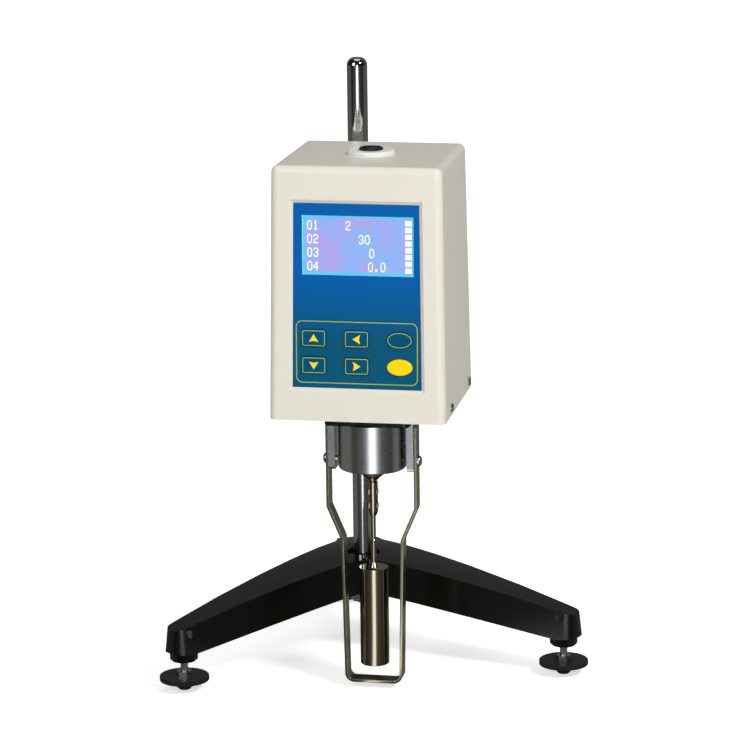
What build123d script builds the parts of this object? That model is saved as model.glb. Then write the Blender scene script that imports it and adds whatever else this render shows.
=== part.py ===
from build123d import *
import math
import os

# Rotational viscometer: a measuring head that rides on a rack column, over a three-armed cast stand.
# The frame is the head's own: +X to the right of the panel, the panel faces -Y, +Z up, and the
# origin lies on the column's axis in the plane of the bench. All sizes are millimetres.

# Fits and gaps
RUN = 0.05              # radial clearance of a shaft that turns or slides in its bore
SEAT = 0.1              # gap of a piece laid in its pocket
FREE = 0.3              # gap between pieces that move past each other

# Stand
STAND_YAW = 16.3        # the column is bolted so that the stand points this far left of the head
HUB_BACK = 14.0         # the three arms cross this far behind the column
FOOT_FRONT = 152.1      # crossing to a front foot
FOOT_REAR = 102.0       # crossing to the rear foot
FOOT_ANGLE = 34.6       # a front arm against the stand's own X axis, degrees
ARM_HUB_HALF = 29.2     # half width of a front arm at the crossing, at the lowest level of the casting
REAR_HUB_HALF = 22.0    # the same of the rear arm
ARM_FOOT_HALF = 11.5    # the same at the foot
ARM_DRAFT = 6.0         # draft of the casting's sides, degrees
ARM_END = 12.9          # the arm runs on past the foot's axis
ARM_END_RADIUS = 9.4
CROTCH_RADIUS = 12.0
HUB_TOP = 69.1
HUB_UNDER = 47.9
TIP_TOP = 44.3          # upper face at the foot's axis
TIP_UNDER = 25.1
TIP_RISE = 1.4          # the casting's lower rim rises this much round the tip
ARM_CROWN = 2.6         # the upper face bows this much above a straight line, half way along
ARM_KNEE = 30.0         # up to here the three arms share one surface
CASTING_LOW = 15.1      # the drafted sides are drawn from this level, below all the arms
CROTCH_REACH = 44.0     # the corners between the arms lie within this radius
CAST_WALL = 5.0
HUB_BOSS = 17.0         # radius of the solid boss round the column
COLUMN_SPOT = 3.0       # depth of the spot face that the column's shoulder stands in
COLUMN_SPOT_R = 11.0

# Column
COLUMN_DIA = 13.5
COLUMN_TOP = 402.4
COLUMN_DOME = 5.0
COLUMN_STUD_DIA = 10.0
COLUMN_STUD = 10.0      # stud that stands out below the hub
RACK_MODULE = 1.0
RACK_FLAT = 5.75        # the milled flat's distance from the column's axis
RACK_LOW = 147.5
RACK_HIGH = 389.5
PRESSURE = 20.0         # pressure angle of rack and pinion, degrees
ADDENDUM = 0.9          # in modules
DEDENDUM = 1.2
BACKLASH = 0.3
NUT_FLATS = 17.0
NUT_HEIGHT = 8.0

# Levelling feet
BOSS_DIA = 18.4
BOSS_EDGE = 1.5
BOSS_LOW = 19.5
FOOT_SCREW_DIA = 5.0
FOOT_SCREW_TOP = 35.5
FOOT_HOLE_TOP = 41.3
WHEEL_DIA = 32.4
WHEEL_LOW = 6.1
WHEEL_THICK = 3.2
WHEEL_TEETH = 36
WHEEL_TOOTH = 0.7
WHEEL_HUB_DIA = 15.0
WHEEL_HUB_LOW = 2.3
HEX_FLATS = 9.0
HEX_HEIGHT = 3.0
PAD_DIA = 9.6
PAD_HEIGHT = 2.0
PAD_EDGE = 1.2
PAD_SOCKET = 1.0        # the screw's end stands this deep in the pad

# Cross clamp on the column
CLAMP_ABOVE = 16.0      # the clamp's sleeve stands this far above the arm's axis
CLAMP_BELOW = 42.0
CLAMP_WALL = 6.0
ARM_X = 22.6            # the head's middle plane and its arm lie beside the column
ARM_Z = 255.5
ARM_DIA = 14.0
CLAMP_HALF = 14.0       # half length of the bore that holds the head's arm
PINION_TEETH = 18
PINION_WIDTH = 10.0
PINION_BELOW = 26.0     # the pinion turns this far below the arm's axis
PINION_SHAFT_DIA = 6.0
PINION_WALL = 3.0
PINION_HALF = 13.0      # half width of the pinion's housing
KNOB_DIA = 30.0
KNOB_LONG = 18.0
KNOB_TEETH = 20
KNOB_TOOTH = 1.2
LOCK_ABOVE = 4.0
LOCK_DIA = 5.0
LOCK_KNOB_DIA = 16.0
LOCK_KNOB_LONG = 12.0
LOCK_STEM = 4.0         # free stem between the clamp and a lock knob

# Head
HOOD_LOW = 190.1
HOOD_HIGH = 351.4
HOOD_FRONT_LOW = 131.5  # distance from the column's axis to the front face, at the lower edge
HOOD_FRONT_HIGH = 124.8
HOOD_BACK_LOW = 17.9
HOOD_BACK_HIGH = 23.3
HOOD_HALF_LOW = 56.5    # half width of the front at the lower edge
HOOD_HALF_HIGH = 54.25
HOOD_BACK_IN = 1.3      # the back is this much narrower on each side
HOOD_WALL = 3.0
HOOD_EDGE = 4.5         # rounded upper and upright edges
HOOD_PAD = 3.0          # thickening round the panel aperture
SLOT_HALF = 9.0         # the slot behind, which lets the hood lift off over the arm

# Panel, measured in the plane of the front face
PANEL_TALL = 117.0
PANEL_TOP_HALF = 39.9
PANEL_LOW_HALF = 41.2
PANEL_Z = 269.8         # height of the panel's centre
PANEL_DEEP = 1.6        # the panel lies this far behind the face
PANEL_THICK = 2.4
BEVEL = 2.3             # width of the sloped border
LEDGE = 3.0
WINDOW_WIDE = 71.0
WINDOW_TALL = 37.7
WINDOW_UP = 32.1        # window centre above the panel's centre
WINDOW_RIGHT = 0.9      # and to its right
WINDOW_BED = 0.2        # adhesive between the window and the display
MODULE_DEEP = 6.0       # the display's metal frame
MODULE_FRAME = 8.0      # the frame is this much taller than the window
MODULE_BOARD = 14.0     # and its board this much taller
WINDOW_THICK = 2.0
KEY_PITCH_X = 27.4
KEY_UPPER = -26.9       # rows of keys, from the panel's centre
KEY_LOWER = -44.2
KEY_WIDE = 15.4
KEY_TALL = 10.5
KEY_CORNER = 1.5
OVAL_WIDE = 16.3
OVAL_TALL = 10.4
KEY_PROUD = 0.9
KEY_BACK = 1.0          # a key reaches this far behind the panel plate
KEY_TRAVEL = 0.4
KEY_SWITCH = 6.0
PLUNGER_DIA = 3.4
KEY_BOARD_BEHIND = 5.6  # keypad board's front, behind the panel plate's rear face

# Bubble level
LEVEL_Y = -72.2
LEVEL_DIA = 30.4
LEVEL_TALL = 2.6
LEVEL_RING_DIA = 15.4
LEVEL_RING_TALL = 1.4
VIAL_DIA = 12.0
LEVEL_FLOOR = 0.8

# Underside of the head
SPINDLE_Y = -80.4
CHASSIS_LOW = 192.5
CHASSIS_THICK = 7.0
CHASSIS_GAP = 0.4
HOOD_SCREW_YS = (-108.2, -35.0)
HOOD_SCREW_DIA = 3.0
HOOD_SCREW_HEAD = 5.6
HOOD_SCREW_LONG = 10.0
HOOD_SCREW_TALL = 1.6
FLANGE_HALF = 27.8
FLANGE_FRONT = 20.0
FLANGE_BACK = 27.0
FLANGE_LOW = 179.3
FLANGE_CORNER = 4.0
HOUSING_DIA = 43.8
HOUSING_LOW = 148.2
HOUSING_BORE = 30.0
HOUSING_FLOOR = 6.0
HOUSING_EDGE = 0.8
CAP_TOP_DIA = 21.0
CAP_LOW_DIA = 7.2
CAP_LOW = 139.9
JEWEL_DIA = 8.0
JEWEL_TALL = 4.0

# Guard
GUARD_STRIP = 2.0
GUARD_WIDE = 11.0
LUG_GAP = 1.6           # air between the housing and a lug
GUARD_MID_HALF = 19.7   # half distance between the legs' middle lines, at the lower bend
GUARD_LOW_HALF = 17.9
GUARD_BEND_HIGH = 122.0
GUARD_BEND_LOW = 100.5
GUARD_BOTTOM = 3.7
GUARD_TOP = 176.5
GUARD_BEND_RADIUS = 4.0
GUARD_CORNER_RADIUS = 5.0
LUG_THICK = 4.3
LUG_WIDE = 14.0
LUG_LOW = 147.0
LUG_EDGE = 2.5
GUARD_SCREW_Z = 153.1
GUARD_SCREW_DIA = 3.5
GUARD_SCREW_HEAD = 7.0
GUARD_SCREW_PROUD = 0.8
GUARD_SCREW_TALL = 2.4

# Spindle and rotor
PIVOT_DIA = 4.0
PIVOT_TOP = 235.5
COUPLING_DIA = 6.5
COUPLING_TOP = 138.9
COUPLING_LOW = 115.7
COUPLING_TAPER = 3.0
BAND_TALL = 3.0
BAND_ZS = (130.4, 121.1)
BAND_TEETH = 18
BAND_TOOTH = 0.35
ROTOR_DIA = 18.84
ROTOR_TALL = 65.1
ROTOR_LOW = 16.0
ROTOR_SHAFT_DIA = 3.2
ROTOR_CONE = 3.0
ROTOR_CONE_DIA = 6.4
ROTOR_EDGE = 0.5
GROOVE_Z = 99.6
GROOVE_WIDE = 1.0
GROOVE_DEEP = 0.3

# Drive inside the head
DECK_LOW = 259.5
DECK_THICK = 4.0
DECK_HALF_X = 32.0
DECK_HALF_Y = 27.0
POST_DIA = 8.0
POST_INSET = 6.0
MOTOR_SIDE = 42.3
MOTOR_TALL = 40.0
MOTOR_CORNER = 4.5
MOTOR_BOSS_DIA = 22.0
MOTOR_BOSS_TALL = 2.0
DRIVE_DIA = 5.0
DRIVE_HUB_TALL = 7.0    # the hub and crank below the upper disc
CRANK_TALL = 2.0
DRIVE_HUB_DIA = 12.0
DISC_DIA = 40.0
DISC_THICK = 1.0
DISC_SLOT = 3.0
UPPER_DISC_Z = 247.5
LOWER_DISC_Z = 219.5
DISC_HUB_DIA = 9.0
DISC_HUB_TALL = 4.0
SPRING_Z = 232.5
SPRING_TALL = 1.6
SPRING_STRIP = 0.4
SPRING_INNER = 5.0
SPRING_OUTER = 13.0
SPRING_TURNS = 4
SPRING_STEPS = 16       # chords in one turn
COLLET_DIA = 8.8
STUD_DIA = 2.0
SENSOR_WIDE = 10.0
SENSOR_LONG = 12.0
SENSOR_TALL = 9.0
SENSOR_GAP = 4.0
SENSOR_BITE = 5.0       # a disc's rim stands this deep in a sensor's slot
POST_SIDE = 8.0
BOARD_THICK = 1.6
BOARD_BACK = 45.0       # the main board's rear and front edges behind and before the column
BOARD_FRONT = 110.0
BOARD_TOP = 302.5
BOARD_GAP = 8.0         # from the hood's wall
CHIP = (2.2, 20.0, 20.0, -2.0, -4.0)    # depth, length, height and place from the board's middle
RELAY = (6.0, 10.0, 25.0, -21.0, -25.0)
PLUG = (5.0, 18.0, 7.0, 17.0, 33.0)
BOARD_PARTS = (CHIP, RELAY, PLUG)

# Arm, bracket and rear fittings
ARM_REAR = 18.0
ARM_FLANGE_DIA = 30.0
ARM_FLANGE = 5.0
ARM_COLLAR_DIA = 20.0
ARM_COLLAR = 3.0
BRACKET_THICK = 6.0
BRACKET_HALF = 30.0
BRACKET_TOP = 279.5
GUSSET = 12.0
SOCKET_X = 30.0         # right of the middle plane
SOCKET_Z = 213.5
SOCKET_DIA = 11.0
SOCKET_BORE = 6.0
SOCKET_PIN_DIA = 2.0
SOCKET_DEEP = 11.0
SOCKET_NUT_DIA = 15.0
SWITCH_Z = 239.5
SWITCH_WIDE = 13.0
SWITCH_TALL = 19.0
SWITCH_DEEP = 12.0
SWITCH_RIM = 2.0
SWITCH_WALL = 1.2
SWITCH_WELL = 6.0       # depth of the well that the rocker swings in
ROCKER_HALF = 7.2
ROCKER_AXIS = -1.5      # the rocker's pin lies this far out of the hood's rear face
ROCKER_PIN_DIA = 2.0

# Worked out from the sizes above
COLUMN_R = COLUMN_DIA / 2
FACE_TILT = math.degrees(math.atan2(HOOD_FRONT_LOW - HOOD_FRONT_HIGH, HOOD_HIGH - HOOD_LOW))
BACK_TILT = math.degrees(math.atan2(HOOD_BACK_HIGH - HOOD_BACK_LOW, HOOD_HIGH - HOOD_LOW))
CHASSIS_TOP = CHASSIS_LOW + CHASSIS_THICK
SPINDLE = Pos(ARM_X, SPINDLE_Y, 0)
PITCH_Y = RACK_FLAT - ADDENDUM * RACK_MODULE
PINION_R = PINION_TEETH * RACK_MODULE / 2
PINION_Y = PITCH_Y + PINION_R
PINION_TIP = PINION_R + ADDENDUM * RACK_MODULE
DRIVE_LOW = UPPER_DISC_Z - DRIVE_HUB_TALL
CLAMP_LOW = ARM_Z - CLAMP_BELOW
CLAMP_HIGH = ARM_Z + CLAMP_ABOVE
PINION_Z = ARM_Z - PINION_BELOW
LOCK_Z = ARM_Z + LOCK_ABOVE
GUARD_TOP_HALF = HOUSING_DIA / 2 + LUG_GAP + LUG_THICK + GUARD_STRIP / 2
UP = (Align.CENTER, Align.CENTER, Align.MIN)


def rod(radius, low, high, x=0.0, y=0.0):
    """An upright cylinder between two heights."""
    return Pos(x, y, low) * Cylinder(radius, high - low, align=UP)


def rod_x(radius, x0, x1, y, z):
    """A cylinder along X."""
    return Pos(x0, y, z) * Rot(0, 90, 0) * Cylinder(radius, x1 - x0, align=UP)


def rod_y(radius, y0, y1, x, z):
    """A cylinder along Y."""
    return Pos(x, y0, z) * Rot(-90, 0, 0) * Cylinder(radius, y1 - y0, align=UP)


def block(x0, x1, y0, y1, z0, z1):
    """A box between two corners."""
    return Pos(x0, y0, z0) * Box(x1 - x0, y1 - y0, z1 - z0, align=(Align.MIN, Align.MIN, Align.MIN))


def turned(points):
    """A body of revolution about Z from its half outline of (radius, height) points."""
    return revolve(Plane.XZ * make_face(Polyline(*points, close=True)), Axis.Z)


def toothed(radius, depth, teeth, height):
    """An upright disc with triangular teeth round its rim."""
    points = []
    for i in range(2 * teeth):
        angle = math.pi * i / teeth
        r = radius if i % 2 else radius - depth
        points.append((r * math.cos(angle), r * math.sin(angle)))
    return extrude(make_face(Polyline(*points, close=True)), amount=height)


def hexagon(flats, height, bore):
    """An upright hexagon nut or collar with a round hole."""
    body = extrude(RegularPolygon(flats / 2, 6, major_radius=False), amount=height)
    return body - Cylinder(bore / 2, 3 * height)


def hood_front(z):
    """Distance of the front face from the column's axis at a height."""
    share = (z - HOOD_LOW) / (HOOD_HIGH - HOOD_LOW)
    return HOOD_FRONT_LOW + (HOOD_FRONT_HIGH - HOOD_FRONT_LOW) * share


def hood_back(z):
    """Distance of the hood's rear face from the column's axis at a height."""
    share = (z - HOOD_LOW) / (HOOD_HIGH - HOOD_LOW)
    return HOOD_BACK_LOW + (HOOD_BACK_HIGH - HOOD_BACK_LOW) * share


def hood_half(z):
    """Half width of the hood's front at a height."""
    share = (z - HOOD_LOW) / (HOOD_HIGH - HOOD_LOW)
    return HOOD_HALF_LOW + (HOOD_HALF_HIGH - HOOD_HALF_LOW) * share


def hood_section(z, inset):
    """The hood's outline at a height, drawn in by a wall."""
    front, back, half = hood_front(z) - inset, hood_back(z) + inset, hood_half(z) - inset
    narrow = half - HOOD_BACK_IN
    corners = [(-half, -front), (half, -front), (narrow, -back), (-narrow, -back)]
    return Pos(ARM_X, 0, z) * make_face(Polyline(*corners, close=True))


FACE = Plane(origin=(ARM_X, -hood_front(PANEL_Z), PANEL_Z), x_dir=(1, 0, 0),
             z_dir=(0, -math.cos(math.radians(FACE_TILT)), math.sin(math.radians(FACE_TILT))))
BACK = Plane(origin=(ARM_X + SOCKET_X, -hood_back(SOCKET_Z), SOCKET_Z), x_dir=(-1, 0, 0),
             z_dir=(0, math.cos(math.radians(BACK_TILT)), math.sin(math.radians(BACK_TILT))))
SWITCH = BACK.location * Pos(0, SWITCH_Z - SOCKET_Z, 0)


# Stand

def arm_crown(r):
    """Height of a front arm's upper face at a distance from the crossing."""
    share = r / FOOT_FRONT
    return HUB_TOP - (HUB_TOP - TIP_TOP) * share + 4 * ARM_CROWN * share * (1 - share)


def arm_dome(reach, grow):
    """Turned space between the arms' underside and their crowned upper face; grow lowers both.

    Out to the knee it is the same for every reach; beyond it the slope is set by the foot."""
    end = reach + ARM_END + CAST_WALL
    knee_under = HUB_UNDER - ARM_KNEE * (HUB_UNDER - TIP_UNDER) / FOOT_FRONT
    rise = TIP_RISE * (end - reach) / ARM_END
    if reach == FOOT_FRONT:
        samples = (ARM_KNEE / 2, ARM_KNEE, reach / 3, reach / 2, reach * 3 / 4, reach, end)
        upper = [(r, arm_crown(r)) for r in samples]
        lower = [(0, HUB_UNDER)]
    else:
        fall = (arm_crown(ARM_KNEE) - TIP_TOP) / (reach - ARM_KNEE)
        upper = [(ARM_KNEE / 2, arm_crown(ARM_KNEE / 2)), (ARM_KNEE, arm_crown(ARM_KNEE))]
        upper.append((end, TIP_TOP - fall * (end - reach)))
        lower = [(0, HUB_UNDER), (ARM_KNEE, knee_under)]
    lower += [(reach, TIP_UNDER), (end, TIP_UNDER + rise)]
    points = lower + upper[::-1] + [(0, HUB_TOP)]
    return Pos(0, HUB_BACK, -grow) * turned(points)


def arm_plan(reach, hub_half, inset, end):
    """An arm's plan at the casting's lowest level, from the crossing along +X."""
    hub = hub_half - inset
    foot = ARM_FOOT_HALF - inset
    tip = foot - (hub_half - ARM_FOOT_HALF) / reach * end
    plan = make_face(Polyline((0, -hub), (reach + end, -tip), (reach + end, tip), (0, hub), close=True))
    return fillet(plan.vertices().group_by(Axis.X)[-1], min(ARM_END_RADIUS - inset / 2, tip - 0.2))


def arms_prism(inset=0.0, end=ARM_END, grow=0.0):
    """The three arms as one drafted prism, cut between their domes."""
    plan = None
    for reach, angle, hub_half in ARMS.values():
        arm = Rot(0, 0, angle) * arm_plan(reach, hub_half, inset, end)
        plan = arm if plan is None else plan + arm
    crotches = [v for v in plan.vertices() if math.hypot(v.X, v.Y) < CROTCH_REACH]
    plan = fillet(crotches, CROTCH_RADIUS)
    prism = Pos(0, HUB_BACK, CASTING_LOW) * extrude(plan, amount=HUB_TOP + 2 - CASTING_LOW, taper=ARM_DRAFT)
    split = HUB_BACK + ARM_KNEE / 2
    behind = block(-FOOT_FRONT, FOOT_FRONT, split, split + FOOT_REAR, 0, HUB_TOP + 5)
    return ((prism - behind) & arm_dome(FOOT_FRONT, grow)) + (prism & behind & arm_dome(FOOT_REAR, grow))


ARMS = {
    "front_left": (FOOT_FRONT, 180 + FOOT_ANGLE, ARM_HUB_HALF),
    "front_right": (FOOT_FRONT, -FOOT_ANGLE, ARM_HUB_HALF),
    "rear": (FOOT_REAR, 90.0, REAR_HUB_HALF),
}


def foot_place(name):
    """A foot's axis in the head's frame."""
    reach, angle, hub_half = ARMS[name]
    x = reach * math.cos(math.radians(angle))
    y = HUB_BACK + reach * math.sin(math.radians(angle))
    turn = math.radians(STAND_YAW)
    return x * math.cos(turn) - y * math.sin(turn), x * math.sin(turn) + y * math.cos(turn)


def base_casting():
    body = arms_prism()
    body = body - (arms_prism(CAST_WALL, -BOSS_DIA / 2 - CAST_WALL, CAST_WALL) - rod(HUB_BOSS, 0, HUB_TOP))
    r, top = BOSS_DIA / 2, TIP_TOP - CAST_WALL / 2
    boss = turned([(0, BOSS_LOW), (r - BOSS_EDGE, BOSS_LOW), (r, BOSS_LOW + BOSS_EDGE), (r, top), (0, top)])
    for reach, angle, hub_half in ARMS.values():
        spot = Pos(0, HUB_BACK, 0) * Rot(0, 0, angle) * Pos(reach, 0, 0)
        body += spot * boss
        body -= spot * rod(FOOT_SCREW_DIA / 2 + RUN, BOSS_LOW - 1, FOOT_HOLE_TOP)
    spot_face = HUB_TOP - COLUMN_SPOT
    body -= rod(COLUMN_STUD_DIA / 2 + SEAT, 0, HUB_TOP + 2)
    body -= rod(COLUMN_SPOT_R, spot_face, HUB_TOP + 5)
    return Rot(0, 0, STAND_YAW) * body


def column():
    spot_face = HUB_TOP - COLUMN_SPOT
    shank = fillet(rod(COLUMN_R, spot_face, COLUMN_TOP).edges().group_by(Axis.Z)[-1], COLUMN_DOME)
    pitch = math.pi * RACK_MODULE
    root = PITCH_Y - DEDENDUM * RACK_MODULE
    lean = math.tan(math.radians(PRESSURE))
    shank -= block(-COLUMN_R, COLUMN_R, RACK_FLAT, COLUMN_R + 1, RACK_LOW, RACK_HIGH)
    space = []
    count = int((RACK_HIGH - RACK_LOW) / pitch) - 1
    first = PINION_Z - pitch * round((PINION_Z - RACK_LOW) / pitch - 1)
    mouth = RACK_FLAT + 0.5
    wide = pitch / 4 + (mouth - PITCH_Y) * lean
    narrow = pitch / 4 - (PITCH_Y - root) * lean
    for i in range(count):
        z = first + pitch * i
        gap = [(mouth, z - wide), (root, z - narrow), (root, z + narrow), (mouth, z + wide)]
        space.append(make_face(Polyline(*gap, close=True)))
    gaps = extrude(Plane.YZ * Sketch(children=[s.face() for s in space]), amount=COLUMN_R, both=True)
    stud = rod(COLUMN_STUD_DIA / 2, HUB_UNDER - CAST_WALL - COLUMN_STUD, spot_face)
    return shank - gaps + stud


def column_nut():
    nut = hexagon(NUT_FLATS, NUT_HEIGHT, COLUMN_STUD_DIA + 2 * SEAT)
    return Pos(0, 0, HUB_UNDER - CAST_WALL - NUT_HEIGHT) * nut


def foot_pad():
    r = PAD_DIA / 2
    pad = turned([(0, 0), (r - PAD_EDGE, 0), (r, PAD_EDGE), (r, PAD_HEIGHT), (0, PAD_HEIGHT)])
    return pad - rod(FOOT_SCREW_DIA / 2 + RUN, PAD_HEIGHT - PAD_SOCKET, PAD_HEIGHT + 1)


def foot_screw():
    hub_top = WHEEL_LOW + WHEEL_THICK
    shank = rod(FOOT_SCREW_DIA / 2, PAD_HEIGHT - PAD_SOCKET + RUN, FOOT_SCREW_TOP)
    shank = chamfer(shank.edges().group_by(Axis.Z)[-1], 0.6)
    return shank + Pos(0, 0, hub_top + RUN) * hexagon(HEX_FLATS, HEX_HEIGHT, FOOT_SCREW_DIA)


def foot_wheel():
    bore = FOOT_SCREW_DIA / 2 + RUN
    hub = WHEEL_HUB_DIA / 2
    rim = Pos(0, 0, WHEEL_LOW) * toothed(WHEEL_DIA / 2, WHEEL_TOOTH, WHEEL_TEETH, WHEEL_THICK)
    drop = WHEEL_LOW - WHEEL_HUB_LOW
    nub = turned([(0, WHEEL_HUB_LOW), (hub * 0.62, WHEEL_HUB_LOW), (hub * 0.86, WHEEL_HUB_LOW + drop * 0.3),
                  (hub, WHEEL_LOW + 0.5), (0, WHEEL_LOW + 0.5)])
    return rim + nub - rod(bore, 0, WHEEL_LOW + WHEEL_THICK + 1)


# Carriage on the column

def lift_clamp():
    sleeve = rod(COLUMN_R + CLAMP_WALL, CLAMP_LOW, CLAMP_HIGH)
    arm_r = ARM_DIA / 2 + CLAMP_WALL
    cross = rod_y(arm_r, -CLAMP_HALF, CLAMP_HALF, ARM_X, ARM_Z)
    web = block(0, ARM_X, -COLUMN_R, COLUMN_R, ARM_Z - arm_r, ARM_Z + arm_r)
    case_r = PINION_TIP + FREE + PINION_WALL
    case = rod_x(case_r, -PINION_HALF, PINION_HALF, PINION_Y, PINION_Z)
    lock = rod_x(LOCK_DIA / 2 + CLAMP_WALL / 2, -COLUMN_R - CLAMP_WALL - 2, 0, 0, LOCK_Z)
    body = sleeve + cross + web + case + lock
    body = body - rod(COLUMN_R + RUN, CLAMP_LOW - 1, CLAMP_HIGH + 1)
    body = body - rod_y(ARM_DIA / 2 + RUN, -CLAMP_HALF - 1, CLAMP_HALF + 1, ARM_X, ARM_Z)
    room = PINION_WIDTH / 2 + FREE
    body = body - rod_x(PINION_TIP + FREE, -room, room, PINION_Y, PINION_Z)
    body = body - rod_x(PINION_SHAFT_DIA / 2 + RUN, -PINION_HALF - 1, PINION_HALF + 1, PINION_Y, PINION_Z)
    body = body - rod_x(LOCK_DIA / 2 + RUN, -COLUMN_R - CLAMP_WALL - 3, 0, 0, LOCK_Z)
    return body - rod(LOCK_DIA / 2 + RUN, ARM_Z, ARM_Z + arm_r + 1, x=ARM_X)


def pinion_outline():
    """Gear outline with involute flanks, thinned by the backlash."""
    pressure = math.radians(PRESSURE)
    base = PINION_R * math.cos(pressure)
    root = PINION_R - DEDENDUM * RACK_MODULE
    half = (math.pi * RACK_MODULE / 2 - BACKLASH) / 2 / PINION_R
    flat = half + math.tan(pressure) - pressure
    points = []
    for tooth in range(PINION_TEETH):
        middle = 2 * math.pi * tooth / PINION_TEETH
        flank = [(root, flat)]
        for step in range(4):
            r = base + (PINION_TIP - base) * step / 3
            roll = math.acos(min(1.0, base / r))
            flank.append((r, flat - (math.tan(roll) - roll)))
        points += [(r, middle - a) for r, a in flank] + [(r, middle + a) for r, a in reversed(flank)]
    return make_face(Polyline(*[(r * math.cos(a), r * math.sin(a)) for r, a in points], close=True))


def pinion_shaft():
    """The gear sits with a tooth against the rack, which has a gap there."""
    turn = Rot(0, 0, 180) * pinion_outline()
    gear = Pos(-PINION_WIDTH / 2, PINION_Y, PINION_Z) * (Plane.YZ * extrude(turn, amount=PINION_WIDTH))
    left = -PINION_HALF - FREE - KNOB_LONG
    return gear + rod_x(PINION_SHAFT_DIA / 2, left + 1, PINION_HALF, PINION_Y, PINION_Z)


def lift_knob():
    knob = toothed(KNOB_DIA / 2, KNOB_TOOTH, KNOB_TEETH, KNOB_LONG)
    knob = knob - Cylinder(PINION_SHAFT_DIA / 2 + RUN / 2, 3 * KNOB_LONG)
    return Pos(-PINION_HALF - FREE, PINION_Y, PINION_Z) * Rot(0, -90, 0) * knob


def lock_screw(reach):
    """A thumb screw along +Z from its tip at the origin; reach is the length in the clamp."""
    stem = Cylinder(LOCK_DIA / 2, reach + LOCK_STEM, align=UP)
    head = toothed(LOCK_KNOB_DIA / 2, KNOB_TOOTH / 2, KNOB_TEETH, LOCK_KNOB_LONG)
    return stem + Pos(0, 0, reach + LOCK_STEM) * head


def column_lock_screw():
    reach = CLAMP_WALL + 2 - FREE
    return Pos(-COLUMN_R - RUN - FREE, 0, LOCK_Z) * Rot(0, -90, 0) * lock_screw(reach)


def arm_lock_screw():
    reach = CLAMP_WALL - FREE
    return Pos(ARM_X, 0, ARM_Z + ARM_DIA / 2 + RUN + FREE) * lock_screw(reach)


# Head: hood and panel

def on_face(x, y, depth=0.0):
    """A place on the front face, from the panel's centre; depth goes into the head."""
    return FACE.location * Pos(x, y, -depth)


def panel_sketch(grow):
    """The panel's outline, which follows the hood's draft."""
    half = PANEL_TALL / 2 + grow
    spread = (PANEL_LOW_HALF - PANEL_TOP_HALF) / PANEL_TALL
    middle = (PANEL_LOW_HALF + PANEL_TOP_HALF) / 2 + grow
    top, low = middle - spread * half, middle + spread * half
    return make_face(Polyline((-low, -half), (low, -half), (top, half), (-top, half), close=True))


def hood():
    shell = loft([hood_section(HOOD_LOW, 0), hood_section(HOOD_HIGH, 0)], ruled=True)
    shell = fillet([e for e in shell.edges() if max((e @ 0).Z, (e @ 1).Z) > HOOD_LOW + 1], HOOD_EDGE)
    room_top = HOOD_HIGH - HOOD_WALL
    room = loft([hood_section(HOOD_LOW - 1, HOOD_WALL), hood_section(room_top, HOOD_WALL)], ruled=True)
    pad = on_face(0, 0, HOOD_WALL + HOOD_PAD) * extrude(panel_sketch(LEDGE + BEVEL), amount=HOOD_PAD + 0.5)
    room = room - pad
    shell = shell - room
    mouth, floor = on_face(0, 0, -0.01) * panel_sketch(BEVEL), on_face(0, 0, PANEL_DEEP) * panel_sketch(0)
    border = loft([mouth, floor], ruled=True)
    seat = on_face(0, 0, PANEL_DEEP + PANEL_THICK) * extrude(panel_sketch(SEAT), amount=PANEL_THICK + 0.5)
    through = HOOD_WALL + HOOD_PAD
    window = on_face(0, 0, through + 2) * extrude(panel_sketch(-LEDGE), amount=through)
    shell = shell - border - seat - window
    inner = -hood_back(ARM_Z) - 2 * HOOD_WALL
    slot = block(ARM_X - SLOT_HALF, ARM_X + SLOT_HALF, inner, 0, HOOD_LOW - 1, ARM_Z)
    slot = slot + rod_y(SLOT_HALF, inner, 0, ARM_X, ARM_Z)
    shell = shell - slot
    shell = shell - BACK.location * Cylinder(SOCKET_DIA / 2 + SEAT, 20)
    shell = shell - SWITCH * Box(SWITCH_WIDE + 2 * SEAT, SWITCH_TALL + 2 * SEAT, 20)
    reach = HOOD_HALF_LOW + 1
    for y in HOOD_SCREW_YS:
        middle = CHASSIS_LOW + CHASSIS_THICK / 2
        shell = shell - rod_x(HOOD_SCREW_DIA / 2 + SEAT, ARM_X - reach, ARM_X + reach, y, middle)
    return shell


def hood_screws():
    """Four pan-head screws through the hood's sides into the chassis plate."""
    z = CHASSIS_LOW + CHASSIS_THICK / 2
    screws = []
    for y in HOOD_SCREW_YS:
        share = (-y - HOOD_BACK_LOW) / (HOOD_FRONT_LOW - HOOD_BACK_LOW)
        half = hood_half(z) - HOOD_BACK_IN * (1 - share) + SEAT
        for side in (-1, 1):
            head = Cylinder(HOOD_SCREW_HEAD / 2, HOOD_SCREW_TALL, align=UP)
            head = chamfer(head.edges().group_by(Axis.Z)[-1], HOOD_SCREW_TALL / 2)
            shank = Pos(0, 0, -HOOD_SCREW_LONG) * Cylinder(HOOD_SCREW_DIA / 2, HOOD_SCREW_LONG, align=UP)
            screws.append(Pos(ARM_X + side * half, y, z) * Rot(0, 90 * side, 0) * (head + shank))
    return Compound(children=[s.solid() for s in screws])


KEYS = {
    "key_up": (-1, KEY_UPPER, False), "key_left": (0, KEY_UPPER, False), "key_reset": (1, KEY_UPPER, True),
    "key_down": (-1, KEY_LOWER, False), "key_right": (0, KEY_LOWER, False), "key_enter": (1, KEY_LOWER, True),
}


def key_outline(oval, grow):
    if oval:
        return Ellipse(OVAL_WIDE / 2 + grow, OVAL_TALL / 2 + grow)
    return RectangleRounded(KEY_WIDE + 2 * grow, KEY_TALL + 2 * grow, KEY_CORNER + grow)


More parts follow.
